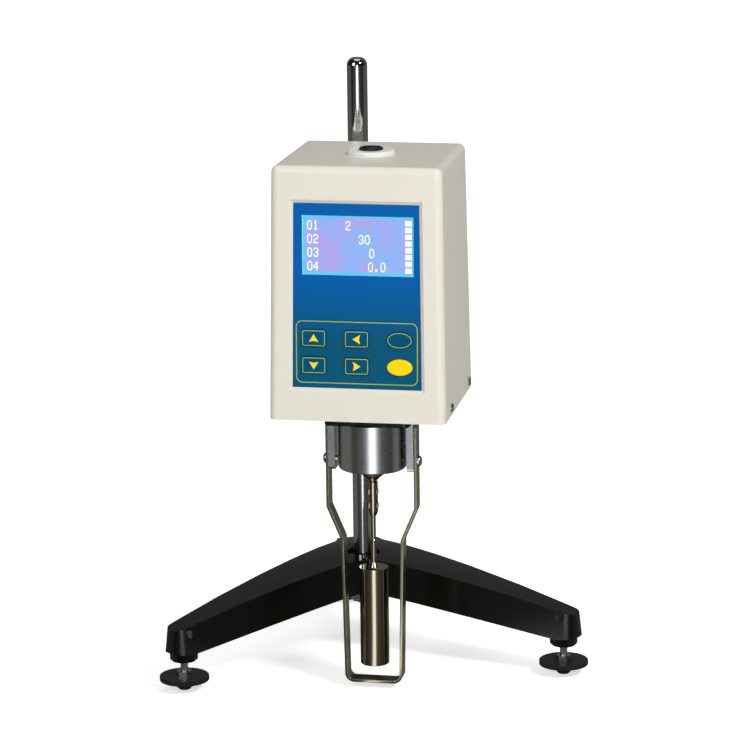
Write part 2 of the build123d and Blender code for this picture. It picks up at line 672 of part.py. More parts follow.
def front_panel():
    plate = extrude(panel_sketch(0), amount=PANEL_THICK)
    plate = plate - Pos(WINDOW_RIGHT, WINDOW_UP, 0) * Box(WINDOW_WIDE, WINDOW_TALL, 3 * PANEL_THICK)
    for column_number, y, oval in KEYS.values():
        hole = extrude(key_outline(oval, FREE), amount=2 * PANEL_THICK, both=True)
        plate = plate - Pos(column_number * KEY_PITCH_X, y, 0) * hole
    return on_face(0, 0, PANEL_DEEP + PANEL_THICK) * plate


def display_window():
    pane = Box(WINDOW_WIDE - 2 * SEAT, WINDOW_TALL - 2 * SEAT, WINDOW_THICK, align=UP)
    return on_face(WINDOW_RIGHT, WINDOW_UP, PANEL_DEEP + WINDOW_THICK + WINDOW_BED) * pane


def display_module():
    """The display's metal frame and its board, clipped behind the window."""
    front = PANEL_DEEP + PANEL_THICK
    frame = Box(WINDOW_WIDE + 1, WINDOW_TALL + MODULE_FRAME, MODULE_DEEP, align=UP)
    frame = chamfer(frame.edges().group_by(Axis.Z)[-1], 0.8)
    board = Pos(0, 0, -BOARD_THICK) * Box(WINDOW_WIDE + 1, WINDOW_TALL + MODULE_BOARD, BOARD_THICK, align=UP)
    return on_face(WINDOW_RIGHT, WINDOW_UP, front + MODULE_DEEP + SEAT) * (frame + board)


def key_cap(name):
    column_number, y, oval = KEYS[name]
    tall = PANEL_THICK + KEY_PROUD + KEY_BACK
    cap = extrude(key_outline(oval, 0), amount=tall)
    cap = fillet(cap.edges().group_by(Axis.Z)[-1], KEY_PROUD * 0.8)
    return on_face(column_number * KEY_PITCH_X, y, PANEL_DEEP + PANEL_THICK + KEY_BACK) * cap


def keypad_board():
    front = PANEL_DEEP + PANEL_THICK + KEY_BOARD_BEHIND
    wide = 2 * KEY_PITCH_X + KEY_WIDE + 2
    tall = KEY_UPPER - KEY_LOWER + KEY_TALL + 2
    board = Box(wide, tall, BOARD_THICK, align=UP)
    for x in (-1, 1):
        for y in (-1, 1):
            leg = Pos(x * KEY_PITCH_X / 2, y * (tall / 2 - 2.5), 0)
            board = board + leg * Cylinder(2.0, BOARD_THICK + KEY_BOARD_BEHIND, align=UP)
    return on_face(0, (KEY_UPPER + KEY_LOWER) / 2, front + BOARD_THICK) * board


def key_switches():
    """Six push switches, each with a plunger just behind its key."""
    back = PANEL_DEEP + PANEL_THICK + KEY_BOARD_BEHIND
    room = KEY_BOARD_BEHIND - KEY_BACK - KEY_TRAVEL - SEAT
    body = room * 0.7
    switches = []
    for column_number, y, oval in KEYS.values():
        plunger = Pos(0, 0, body) * Cylinder(PLUNGER_DIA / 2, room - body, align=UP)
        switch = Box(KEY_SWITCH, KEY_SWITCH, body, align=UP) + plunger
        switches.append(on_face(column_number * KEY_PITCH_X, y, back) * switch)
    return Compound(children=[s.solid() for s in switches])


# Bubble level on the hood

def level_bezel():
    r = LEVEL_DIA / 2
    ring = LEVEL_RING_DIA / 2 + SEAT
    bezel = turned([(0, 0), (r, 0), (r, LEVEL_TALL - 1.0), (r - 1.2, LEVEL_TALL), (ring, LEVEL_TALL),
                    (ring, LEVEL_FLOOR), (0, LEVEL_FLOOR)])
    return Pos(ARM_X, LEVEL_Y, HOOD_HIGH) * bezel


def level_ring():
    outer = LEVEL_RING_DIA / 2
    inner = VIAL_DIA / 2 + SEAT
    top = LEVEL_TALL + LEVEL_RING_TALL
    ring = turned([(inner, LEVEL_FLOOR), (outer, LEVEL_FLOOR), (outer, top - 0.5), (outer - 0.6, top),
                   (inner, top)])
    return Pos(ARM_X, LEVEL_Y, HOOD_HIGH) * ring


def level_vial():
    top = LEVEL_TALL + LEVEL_RING_TALL
    glass = Cylinder(VIAL_DIA / 2, top - LEVEL_FLOOR - 0.4, align=UP)
    glass = fillet(glass.edges().group_by(Axis.Z)[-1], 0.7)
    return Pos(ARM_X, LEVEL_Y, HOOD_HIGH + LEVEL_FLOOR) * glass


# Underside: chassis plate, flange, pivot housing and guard

def chassis_plate():
    inset = HOOD_WALL + CHASSIS_GAP
    plate = extrude(hood_section(CHASSIS_LOW, inset), amount=CHASSIS_THICK, taper=0.8)
    plate = plate - SPINDLE * rod(PIVOT_DIA / 2 + 2, CHASSIS_LOW - 1, CHASSIS_TOP + 1)
    for y in HOOD_SCREW_YS:
        half = hood_half(CHASSIS_LOW) - HOOD_SCREW_LONG + 1
        z = CHASSIS_LOW + CHASSIS_THICK / 2
        plate = plate - rod_x(HOOD_SCREW_DIA / 2 + SEAT / 2, ARM_X + half - 4, ARM_X + HOOD_HALF_LOW, y, z)
        plate = plate - rod_x(HOOD_SCREW_DIA / 2 + SEAT / 2, ARM_X - HOOD_HALF_LOW, ARM_X - half + 4, y, z)
    return plate


def mount_flange():
    wide = 2 * FLANGE_HALF
    deep = FLANGE_FRONT + FLANGE_BACK
    slab = extrude(RectangleRounded(wide, deep, FLANGE_CORNER), amount=CHASSIS_LOW - FLANGE_LOW)
    slab = chamfer(slab.edges().group_by(Axis.Z)[0], 0.6)
    slab = Pos(0, (FLANGE_BACK - FLANGE_FRONT) / 2, FLANGE_LOW) * slab
    return SPINDLE * (slab - rod(HOUSING_BORE / 2, FLANGE_LOW - 1, CHASSIS_LOW + 1))


def pivot_housing():
    r = HOUSING_DIA / 2
    cup = rod(r, HOUSING_LOW, FLANGE_LOW)
    cup = chamfer(cup.edges().group_by(Axis.Z)[0], HOUSING_EDGE)
    cup = cup - rod(HOUSING_BORE / 2, HOUSING_LOW + HOUSING_FLOOR, FLANGE_LOW + 1)
    return SPINDLE * (cup - rod(JEWEL_DIA / 2 + SEAT / 2, HOUSING_LOW - 1, HOUSING_LOW + HOUSING_FLOOR + 1))


def jewel_bearing():
    top = HOUSING_LOW + HOUSING_FLOOR
    bore, r = PIVOT_DIA / 2 + RUN, JEWEL_DIA / 2
    low = top - JEWEL_TALL
    return SPINDLE * turned([(bore, low), (r, low), (r, top), (bore + 1.2, top), (bore, top - 1.0)])


def pivot_cap():
    """Cone that closes the housing's floor round the pivot shaft."""
    bore = PIVOT_DIA / 2 + FREE
    low, top = CAP_LOW_DIA / 2, CAP_TOP_DIA / 2
    return SPINDLE * turned([
        (bore, CAP_LOW), (low, CAP_LOW), (low + 0.4, CAP_LOW + 0.8), (2 * low, CAP_LOW + 3.4),
        (top, HOUSING_LOW - 1.5), (top, HOUSING_LOW), (bore, HOUSING_LOW)])


def guard_bore():
    """Clearance bore of both guard screws, right across the guard."""
    reach = GUARD_TOP_HALF + GUARD_STRIP
    return rod_x(GUARD_SCREW_DIA / 2 + SEAT, -reach, reach, 0, GUARD_SCREW_Z)


def guard_lugs():
    inner = GUARD_TOP_HALF - GUARD_STRIP / 2 - LUG_THICK
    lugs = []
    for side in (-1, 1):
        lug = Box(LUG_THICK, LUG_WIDE, FLANGE_LOW - LUG_LOW, align=UP)
        lug = fillet(lug.edges().filter_by(Axis.X).group_by(Axis.Z)[0], LUG_EDGE)
        lug = Pos(side * (inner + LUG_THICK / 2), 0, LUG_LOW) * lug
        lug = lug - guard_bore()
        lugs.append(SPINDLE * lug)
    return Compound(children=[s.solid() for s in lugs])


def guard_frame():
    """A strip bent into a U round the rotor, drawn in below the coupling."""
    low = GUARD_BOTTOM + GUARD_STRIP / 2
    leg = [(GUARD_TOP_HALF, GUARD_TOP), (GUARD_TOP_HALF, GUARD_BEND_HIGH), (GUARD_MID_HALF, GUARD_BEND_LOW),
           (GUARD_LOW_HALF, low)]
    path = [(-x, z) for x, z in leg] + leg[::-1]
    bend, corner = GUARD_BEND_RADIUS, GUARD_CORNER_RADIUS
    line = FilletPolyline(*path, radius=[bend, bend, corner, corner, bend, bend])
    strip = extrude(Plane.XZ * trace(line, GUARD_STRIP), amount=GUARD_WIDE / 2, both=True)
    return SPINDLE * (strip - guard_bore())


def guard_screws():
    outer = GUARD_TOP_HALF + GUARD_STRIP / 2
    inner = GUARD_TOP_HALF - GUARD_STRIP / 2 - LUG_THICK - GUARD_SCREW_PROUD
    screws = []
    for side in (-1, 1):
        head = Cylinder(GUARD_SCREW_HEAD / 2, GUARD_SCREW_TALL, align=UP)
        head = fillet(head.edges().group_by(Axis.Z)[-1], GUARD_SCREW_TALL * 0.8)
        shank = Pos(0, 0, inner - outer) * Cylinder(GUARD_SCREW_DIA / 2, outer - inner, align=UP)
        screws.append(SPINDLE * Pos(side * outer, 0, GUARD_SCREW_Z) * Rot(0, 90 * side, 0) * (head + shank))
    return Compound(children=[s.solid() for s in screws])


# Spindle and rotor, which turn together

def pivot_shaft():
    """Shaft with a collet for the spring and a shoulder over the jewel."""
    r = PIVOT_DIA / 2
    shoulder = HOUSING_LOW + HOUSING_FLOOR + RUN
    half = SPRING_TALL / 2 + 0.6
    collet = COLLET_DIA / 2
    return SPINDLE * turned([
        (0, COUPLING_TOP - 6), (r, COUPLING_TOP - 6), (r, shoulder), (r + 1.5, shoulder),
        (r + 1.5, shoulder + 2), (r, shoulder + 2), (r, SPRING_Z - half), (collet, SPRING_Z - half),
        (collet, SPRING_Z + half), (r, SPRING_Z + half), (r, PIVOT_TOP), (0, PIVOT_TOP + 1)])


def spindle_coupling():
    """Sleeve that takes the rotor's stem below, with two knurled bands."""
    r, mouth = COUPLING_DIA / 2, ROTOR_SHAFT_DIA / 2 + 0.6
    body = turned([(0, COUPLING_LOW), (mouth, COUPLING_LOW), (r, COUPLING_LOW + COUPLING_TAPER),
                   (r, COUPLING_TOP - 0.6), (r - 0.6, COUPLING_TOP), (0, COUPLING_TOP)])
    for z in BAND_ZS:
        body = body + Pos(0, 0, z) * toothed(r + BAND_TOOTH, 2 * BAND_TOOTH, BAND_TEETH, BAND_TALL)
    body = body - rod(PIVOT_DIA / 2 + SEAT / 5, COUPLING_TOP - 6, COUPLING_TOP + 1)
    return SPINDLE * (body - rod(ROTOR_SHAFT_DIA / 2 + SEAT / 5, COUPLING_LOW - 1, COUPLING_LOW + 8))


def rotor():
    r = ROTOR_DIA / 2
    stem = ROTOR_SHAFT_DIA / 2
    top = ROTOR_LOW + ROTOR_TALL
    half = GROOVE_WIDE / 2
    return SPINDLE * turned([
        (0, ROTOR_LOW), (r - ROTOR_EDGE, ROTOR_LOW), (r, ROTOR_LOW + ROTOR_EDGE), (r, top),
        (ROTOR_CONE_DIA / 2, top), (stem, top + ROTOR_CONE), (stem, GROOVE_Z - half),
        (stem - GROOVE_DEEP, GROOVE_Z), (stem, GROOVE_Z + half), (stem, COUPLING_LOW + 8),
        (0, COUPLING_LOW + 8)])


# Drive inside the head

def encoder_disc(z, hub_dia, bore, below):
    """Slotted disc on a hub; below puts the hub under the disc."""
    disc = rod(DISC_DIA / 2, z, z + DISC_THICK)
    for i in range(2):
        slot = Rot(0, 0, 180 * i) * Pos(DISC_DIA / 2 - DISC_SLOT, 0, z) * Box(2 * DISC_SLOT, 1.2, 4)
        disc = disc - slot
    hub = rod(hub_dia / 2, z - DISC_HUB_TALL, z) if below else rod(hub_dia / 2, z, z + DISC_HUB_TALL)
    return SPINDLE * (disc + hub - rod(bore, z - 20, z + 20))


def hairspring():
    """Flat spiral from the collet to the stud on the drive hub."""
    steps = SPRING_TURNS * SPRING_STEPS
    inner, outer = [], []
    for i in range(steps + 1):
        angle = 2 * math.pi * i / SPRING_STEPS
        r = SPRING_INNER + (SPRING_OUTER - SPRING_INNER) * i / steps
        x, y = math.cos(angle), math.sin(angle)
        inner.append(((r - SPRING_STRIP / 2) * x, (r - SPRING_STRIP / 2) * y))
        outer.append(((r + SPRING_STRIP / 2) * x, (r + SPRING_STRIP / 2) * y))
    strip = make_face(Polyline(*(outer + inner[::-1]), close=True))
    return SPINDLE * Pos(0, 0, SPRING_Z - SPRING_TALL / 2) * extrude(strip, amount=SPRING_TALL)


def drive_shaft():
    """Motor shaft, hub, and the crank that carries the spring's outer end."""
    shaft = rod(DRIVE_DIA / 2, DRIVE_LOW, DECK_LOW + DECK_THICK + MOTOR_BOSS_TALL)
    hub = rod(DRIVE_HUB_DIA / 2, DRIVE_LOW, UPPER_DISC_Z)
    stud_x = SPRING_OUTER + SPRING_STRIP / 2 + STUD_DIA / 2
    crank = block(0, stud_x + STUD_DIA, -STUD_DIA, STUD_DIA, DRIVE_LOW, DRIVE_LOW + CRANK_TALL)
    stud = rod(STUD_DIA / 2, SPRING_Z - SPRING_TALL / 2, DRIVE_LOW + 1, x=stud_x)
    return SPINDLE * (shaft + hub + crank + stud)


def motor_deck():
    deck = block(-DECK_HALF_X, DECK_HALF_X, -DECK_HALF_Y, DECK_HALF_Y, DECK_LOW, DECK_LOW + DECK_THICK)
    deck = fillet(deck.edges().filter_by(Axis.Z), 4)
    return SPINDLE * (deck - rod(MOTOR_BOSS_DIA / 2 + SEAT, DECK_LOW - 1, DECK_LOW + DECK_THICK + 1))


def deck_posts():
    posts = []
    for x in (-1, 1):
        for y in (-1, 1):
            place = Pos(x * (DECK_HALF_X - POST_INSET), y * (DECK_HALF_Y - POST_INSET), 0)
            posts.append(SPINDLE * place * rod(POST_DIA / 2, CHASSIS_TOP, DECK_LOW))
    return Compound(children=[s.solid() for s in posts])


def stepper_motor():
    low = DECK_LOW + DECK_THICK
    body = extrude(Rectangle(MOTOR_SIDE, MOTOR_SIDE), amount=MOTOR_TALL)
    body = chamfer(body.edges().filter_by(Axis.Z), MOTOR_CORNER)
    body = Pos(0, 0, low) * body
    body = body + rod(MOTOR_BOSS_DIA / 2, low - MOTOR_BOSS_TALL, low)
    return SPINDLE * (body - rod(DRIVE_DIA / 2 + RUN, low - MOTOR_BOSS_TALL - 1, low + MOTOR_BOSS_TALL + RUN))


def sensor_post():
    """Square post behind the discs, which carries both optical sensors."""
    y = DISC_DIA / 2 - SENSOR_BITE + SENSOR_LONG
    post = block(-POST_SIDE / 2, POST_SIDE / 2, y, y + POST_SIDE, CHASSIS_TOP, UPPER_DISC_Z + SENSOR_TALL)
    return SPINDLE * chamfer(post.edges().filter_by(Axis.Z), 0.8)


def optical_sensors():
    """Two fork sensors; each disc's rim runs in a fork."""
    sensors = []
    y0 = DISC_DIA / 2 - SENSOR_BITE
    for z in (UPPER_DISC_Z, LOWER_DISC_Z):
        middle = z + DISC_THICK / 2
        low, high = middle - SENSOR_TALL / 2, middle + SENSOR_TALL / 2
        fork = block(-SENSOR_WIDE / 2, SENSOR_WIDE / 2, y0, y0 + SENSOR_LONG, low, high)
        half = SENSOR_GAP / 2
        slot = block(-SENSOR_WIDE, SENSOR_WIDE, y0 - 1, y0 + SENSOR_BITE + 1.5, middle - half, middle + half)
        sensors.append(SPINDLE * (fork - slot))
    return Compound(children=[s.solid() for s in sensors])


def main_board():
    """Control board that stands on the chassis plate at the left."""
    x = ARM_X - hood_half(HOOD_HIGH) + HOOD_WALL + BOARD_GAP
    face = x + BOARD_THICK
    middle = Pos(face, (BOARD_BACK + BOARD_FRONT) / -2, (CHASSIS_TOP + BOARD_TOP) / 2)
    board = block(x, face, -BOARD_FRONT, -BOARD_BACK, CHASSIS_TOP, BOARD_TOP)
    for deep, long, tall, y, z in BOARD_PARTS:
        board = board + middle * block(0, deep, y - long / 2, y + long / 2, z - tall / 2, z + tall / 2)
    return board


# Arm and rear fittings

def rear_bracket():
    """Angle bracket inside the hood that carries the head's whole weight on the arm."""
    front = -hood_back(HOOD_HIGH) - HOOD_WALL - ARM_FLANGE - BRACKET_THICK - 1.5
    x0, x1 = ARM_X - BRACKET_HALF, ARM_X + BRACKET_HALF
    plate = block(x0, x1, front, front + BRACKET_THICK, CHASSIS_TOP, BRACKET_TOP)
    plate = chamfer(plate.edges().filter_by(Axis.Y).group_by(Axis.Z)[-1], 10)
    for x in (x0, x1 - BRACKET_THICK):
        side = [(front, CHASSIS_TOP), (front, CHASSIS_TOP + 2 * GUSSET), (front - GUSSET, CHASSIS_TOP)]
        rib = extrude(Plane.YZ * make_face(Polyline(*side, close=True)), amount=BRACKET_THICK)
        plate = plate + Pos(x, 0, 0) * rib
    return plate


def mounting_arm():
    back = -hood_back(HOOD_HIGH) - HOOD_WALL - ARM_FLANGE - 1.5
    flange = rod_y(ARM_FLANGE_DIA / 2, back, back + ARM_FLANGE, ARM_X, ARM_Z)
    shank = rod_y(ARM_DIA / 2, back, ARM_REAR, ARM_X, ARM_Z)
    shank = chamfer(shank.edges().group_by(Axis.Y)[-1], 1.0)
    collar = rod_y(ARM_COLLAR_DIA / 2, -CLAMP_HALF - FREE - ARM_COLLAR, -CLAMP_HALF - FREE, ARM_X, ARM_Z)
    return flange + shank + collar


def power_socket():
    """Round low-voltage socket with a pin in its middle, nutted into the hood's back."""
    body = Pos(0, 0, -SOCKET_DEEP) * Cylinder(SOCKET_DIA / 2, SOCKET_DEEP + 1.2, align=UP)
    rim = Cylinder(SOCKET_NUT_DIA / 2, 1.2, align=UP)
    bore = Pos(0, 0, 2 - SOCKET_DEEP) * Cylinder(SOCKET_BORE / 2, SOCKET_DEEP, align=UP)
    pin = Pos(0, 0, 1 - SOCKET_DEEP) * Cylinder(SOCKET_PIN_DIA / 2, SOCKET_DEEP - 1, align=UP)
    return BACK.location * (body + rim - bore + pin)


def switch_frame():
    """Rectangular snap-in frame of the power switch, bored for the rocker's pin."""
    wide, tall = SWITCH_WIDE - 2 * SWITCH_WALL, SWITCH_TALL - 2 * SWITCH_WALL
    body = Pos(0, 0, -SWITCH_DEEP) * Box(SWITCH_WIDE, SWITCH_TALL, SWITCH_DEEP + 1, align=UP)
    rim = Box(SWITCH_WIDE + 2 * SWITCH_RIM, SWITCH_TALL + 2 * SWITCH_RIM, 1.4, align=UP)
    well = Pos(0, 0, -SWITCH_WELL) * Box(wide, tall, SWITCH_WELL + 2, align=UP)
    reach = wide / 2 + SWITCH_WALL / 2
    return SWITCH * (body + rim - well - rod_x(ROCKER_PIN_DIA / 2 + RUN, -reach, reach, 0, ROCKER_AXIS))


def switch_rocker():
    """Rocker with a shallow V front, on its pin across the frame."""
    half = ROCKER_HALF
    wide = SWITCH_WIDE - 2 * SWITCH_WALL - 2 * FREE
    side = [(-half, -0.5), (0, -4.5), (half, -0.5), (half, 3.4), (0, 0.9), (-half, 1.4)]
    rocker = extrude(Plane.YZ * make_face(Polyline(*side, close=True)), amount=wide / 2, both=True)
    reach = SWITCH_WIDE / 2 - SWITCH_WALL / 2 - SEAT
    return SWITCH * (rocker + rod_x(ROCKER_PIN_DIA / 2, -reach, reach, 0, ROCKER_AXIS))


PIECES = {
    "base_casting": base_casting, "column": column, "column_nut": column_nut,
    "lift_clamp": lift_clamp, "pinion_shaft": pinion_shaft, "lift_knob": lift_knob,
    "column_lock_screw": column_lock_screw, "arm_lock_screw": arm_lock_screw,
    "hood": hood, "hood_screws": hood_screws, "front_panel": front_panel, "display_window": display_window,
    "display_module": display_module, "keypad_board": keypad_board, "key_switches": key_switches,
    "level_bezel": level_bezel, "level_ring": level_ring, "level_vial": level_vial,
    "chassis_plate": chassis_plate, "mount_flange": mount_flange, "pivot_housing": pivot_housing,
    "jewel_bearing": jewel_bearing, "pivot_cap": pivot_cap, "guard_lugs": guard_lugs,
    "guard_frame": guard_frame, "guard_screws": guard_screws, "pivot_shaft": pivot_shaft,
    "spindle_coupling": spindle_coupling, "rotor": rotor, "hairspring": hairspring,
    "drive_shaft": drive_shaft, "motor_deck": motor_deck, "deck_posts": deck_posts,
    "stepper_motor": stepper_motor, "sensor_post": sensor_post, "optical_sensors": optical_sensors,
    "main_board": main_board, "rear_bracket": rear_bracket, "mounting_arm": mounting_arm,
    "power_socket": power_socket, "switch_frame": switch_frame, "switch_rocker": switch_rocker,
}

os.makedirs("parts", exist_ok=True)
for name, make in PIECES.items():
    export_step(make(), f"parts/{name}.step")
for name in KEYS:
    export_step(key_cap(name), f"parts/{name}.step")
for name in ARMS:
    place = Pos(*foot_place(name), 0)
    export_step(place * foot_pad(), f"parts/foot_pad_{name}.step")
    export_step(place * foot_screw(), f"parts/foot_screw_{name}.step")
    export_step(place * foot_wheel(), f"parts/foot_wheel_{name}.step")
upper = encoder_disc(UPPER_DISC_Z, DRIVE_HUB_DIA, DRIVE_DIA / 2 + RUN, below=False)
lower = encoder_disc(LOWER_DISC_Z, DISC_HUB_DIA, PIVOT_DIA / 2 + SEAT / 5, below=True)
export_step(upper, "parts/upper_encoder_disc.step")
export_step(lower, "parts/lower_encoder_disc.step")
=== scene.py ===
# %% [markdown]
# A rotational viscometer measures how thick a liquid is: a small steel rotor turns in it, and the
# head reads how far the liquid holds the rotor back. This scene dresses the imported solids. It gives
# every one a material, and adds what is too thin or too fine for them: the printed film, the lit
# display and the bubble in the level. Everything is in metres, in the solids' own frame.

# %% Load the frame
import math
import bmesh
import bpy
from mathutils import Matrix, Vector


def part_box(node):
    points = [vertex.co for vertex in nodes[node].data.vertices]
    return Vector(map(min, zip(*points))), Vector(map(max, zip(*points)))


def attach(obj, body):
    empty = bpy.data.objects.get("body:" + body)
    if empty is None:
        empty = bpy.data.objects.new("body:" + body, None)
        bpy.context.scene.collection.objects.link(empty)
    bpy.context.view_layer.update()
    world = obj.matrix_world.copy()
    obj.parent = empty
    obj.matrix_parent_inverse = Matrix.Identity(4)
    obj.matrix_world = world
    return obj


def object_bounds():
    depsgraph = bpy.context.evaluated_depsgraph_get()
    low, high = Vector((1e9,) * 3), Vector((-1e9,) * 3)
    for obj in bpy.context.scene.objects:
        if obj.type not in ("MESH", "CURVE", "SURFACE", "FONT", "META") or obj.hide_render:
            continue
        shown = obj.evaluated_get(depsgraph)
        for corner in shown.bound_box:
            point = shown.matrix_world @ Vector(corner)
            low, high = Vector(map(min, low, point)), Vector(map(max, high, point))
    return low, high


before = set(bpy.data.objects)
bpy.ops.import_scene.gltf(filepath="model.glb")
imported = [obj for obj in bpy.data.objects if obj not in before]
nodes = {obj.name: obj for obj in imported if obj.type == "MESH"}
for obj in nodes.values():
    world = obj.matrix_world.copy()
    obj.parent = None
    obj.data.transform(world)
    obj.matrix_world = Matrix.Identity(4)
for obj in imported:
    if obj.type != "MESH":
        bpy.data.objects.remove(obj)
cad_box = [list(corner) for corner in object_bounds()]
MM = 0.001
print("solids:", len(nodes), "box in mm:", [[round(v / MM, 1) for v in corner] for corner in cad_box])

# %% [markdown]
# Colours are written as the hex values that a paint chart or a picture program shows. Blender
# mixes light in linear values, so one function turns each hex value into them.

# %% Colours
def linear(hex_code):
    """An sRGB hex colour as Blender's linear colour."""
    channels = [int(hex_code[i:i + 2], 16) / 255 for i in (1, 3, 5)]
    return [c / 12.92 if c <= 0.04045 else ((c + 0.055) / 1.055) ** 2.4 for c in channels] + [1.0]


print("mid grey #808080 is", round(linear("#808080")[0], 3), "in linear light")

# %% [markdown]
# A material is a small graph of nodes. Every graph here is built with one function that adds a
# node, sets its fields, and then fills its sockets with numbers or links. Numbers that are the same
# all over a surface go on the shader's own sockets.

# %% Nodes and materials
def add(tree, kind, inputs=None, **fields):
    """Adds a node; inputs maps a socket's name or number to a value or to another node's output."""
    made = tree.nodes.new(kind)
    for field, value in fields.items():
        setattr(made, field, value)
    for socket, value in (inputs or {}).items():
        if isinstance(value, bpy.types.NodeSocket):
            tree.links.new(value, made.inputs[socket])
        else:
            made.inputs[socket].default_value = value
    return made


def material(name, **sockets):
    """A material with one Principled shader; sockets are its own, with _ for a space."""
    mat = bpy.data.materials.new(name)
    mat.use_nodes = True
    shader = mat.node_tree.nodes["Principled BSDF"]
    for socket, value in sockets.items():
        shader.inputs[socket.replace("_", " ")].default_value = value
    return mat, mat.node_tree, shader


def calc(tree, operation, *values):
    """One sum on numbers or links, such as MULTIPLY or MAXIMUM."""
    return add(tree, "ShaderNodeMath", dict(enumerate(values)), operation=operation).outputs[0]


def blend(tree, factor, one, other):
    """A colour between two others: the first at a factor of 0, the second at 1."""
    made = add(tree, "ShaderNodeMix", {"Factor": factor, 6: one, 7: other}, data_type="RGBA")
    return made.outputs[2]


def per_metre(millimetres):
    """Texture scale at which one pattern repeat is this many millimetres."""
    return 1 / (millimetres * MM)


def grain(tree, size_mm, detail=2.0, stretch=(1, 1, 1)):
    """Noise in the piece's own space, so that it stays put when the piece moves."""
    place = add(tree, "ShaderNodeTexCoord").outputs["Object"]
    mapped = add(tree, "ShaderNodeMapping", {"Vector": place, "Scale": stretch})
    noise = {"Vector": mapped.outputs["Vector"], "Scale": per_metre(size_mm), "Detail": detail}
    return add(tree, "ShaderNodeTexNoise", noise).outputs["Fac"]


def bands(tree, factor, stops):
    """A ramp through any number of (place, colour) stops."""
    made = add(tree, "ShaderNodeValToRGB", {"Fac": factor})
    elements = made.color_ramp.elements
    while len(elements) < len(stops):
        elements.new(0.5)
    for number, (position, shade) in enumerate(stops):
        elements[number].position = position
        elements[number].color = linear(shade)
    return made.outputs["Color"]


def ramp(tree, factor, low, high, dark, light):
    """A two-colour ramp between two places on a factor."""
    return bands(tree, factor, [(low, dark), (high, light)])


def spread(tree, factor, low, high):
    """Turns a factor of 0 to 1 into a number between low and high."""
    limits = {"Value": factor, "To Min": low, "To Max": high}
    return add(tree, "ShaderNodeMapRange", limits).outputs["Result"]


def relief(tree, shader, height, depth_mm, strength=1.0, edge_mm=0.0):
    """Bumps a shader by a height pattern, and can make sharp edges catch light as rolled ones do."""
    bump = {"Height": height, "Distance": depth_mm * MM, "Strength": strength}
    if edge_mm:
        rolled = add(tree, "ShaderNodeBevel", {"Radius": edge_mm * MM}, samples=6)
        bump["Normal"] = rolled.outputs["Normal"]
    tree.links.new(add(tree, "ShaderNodeBump", bump).outputs["Normal"], shader.inputs["Normal"])


def wear(name, base, dark, light, size_mm, rough, depth_mm=0.0, **sockets):
    """A finish with a slight change of colour and gloss over a grain, and its relief."""
    mat, tree, shader = material(name, Base_Color=linear(base), **sockets)
    pattern = grain(tree, size_mm)
    tree.links.new(ramp(tree, pattern, 0.3, 0.7, dark, light), shader.inputs["Base Color"])
    tree.links.new(spread(tree, pattern, *rough), shader.inputs["Roughness"])
    if depth_mm:
        relief(tree, shader, pattern, depth_mm)
    return mat


print("helpers ready: a 0.5 mm grain has scale", per_metre(0.5))

# %% [markdown]
# The hood is a sprayed two-part paint in warm ivory. The spray leaves a fine orange peel, about
# a millimetre across, which breaks up reflections without dulling them much.

# %% Hood paint
IVORY = linear("#d9d5c8")
hood_paint, tree, shader = material("sprayed_ivory_polyurethane", Base_Color=IVORY, Roughness=0.42)
peel = grain(tree, 1.3)
cloud = grain(tree, 14.0, detail=3.0)
tree.links.new(ramp(tree, cloud, 0.3, 0.7, "#d8d4c7", "#dad7cb"), shader.inputs["Base Color"])
relief(tree, shader, peel, 0.16)
shader.inputs["Coat Weight"].default_value = 0.25
shader.inputs["Coat Roughness"].default_value = 0.22

# %% [markdown]
# The stand is an iron casting under black stove enamel. Enamel flows out before it is baked, so
# it is smooth and glossy, but the skin of the sand casting still shows through as long soft waves.

# %% Black enamel
enamel, tree, shader = material("black_stove_enamel", Base_Color=linear("#070807"), Roughness=0.25)
skin = grain(tree, 1.6, detail=3.0)
waves = grain(tree, 18.0, detail=1.0)
tree.links.new(ramp(tree, skin, 0.3, 0.7, "#050605", "#0b0c0a"), shader.inputs["Base Color"])
tree.links.new(spread(tree, waves, 0.12, 0.2), shader.inputs["Roughness"])
relief(tree, shader, skin, 0.04, 0.4)
clamp_enamel = wear("black_enamel_on_die_casting", "#17181a", "#131416", "#1c1d1f", 1.2, (0.32, 0.45), 0.03)

# %% [markdown]
# Metals differ by how they were finished. Plated and polished rod is smooth; turned aluminium keeps
# rings from the lathe; ground stainless steel has fine lines along the grind; zinc plate is milky.
# The guard's strip was rolled, so its edges are slightly round and take a bright line of light.

# %% Metals
CHROME = linear("#c3c6c8")
chrome, tree, shader = material("hard_chrome_plate", Base_Color=CHROME, Metallic=1.0, Roughness=0.07)
tree.links.new(spread(tree, grain(tree, 6.0), 0.05, 0.1), shader.inputs["Roughness"])


def lathe_turned(name, shade, groove_mm, depth_mm, rough, stretch=(0.02, 0.02, 1), edge_mm=0.0):
    """Metal with fine lines, round Z as from a lathe unless another stretch is given."""
    mat, tree, shader = material(name, Base_Color=linear(shade), Metallic=1.0)
    rings = grain(tree, groove_mm, stretch=stretch)
    tree.links.new(spread(tree, rings, *rough), shader.inputs["Roughness"])
    relief(tree, shader, rings, depth_mm, 0.5, edge_mm)
    return mat


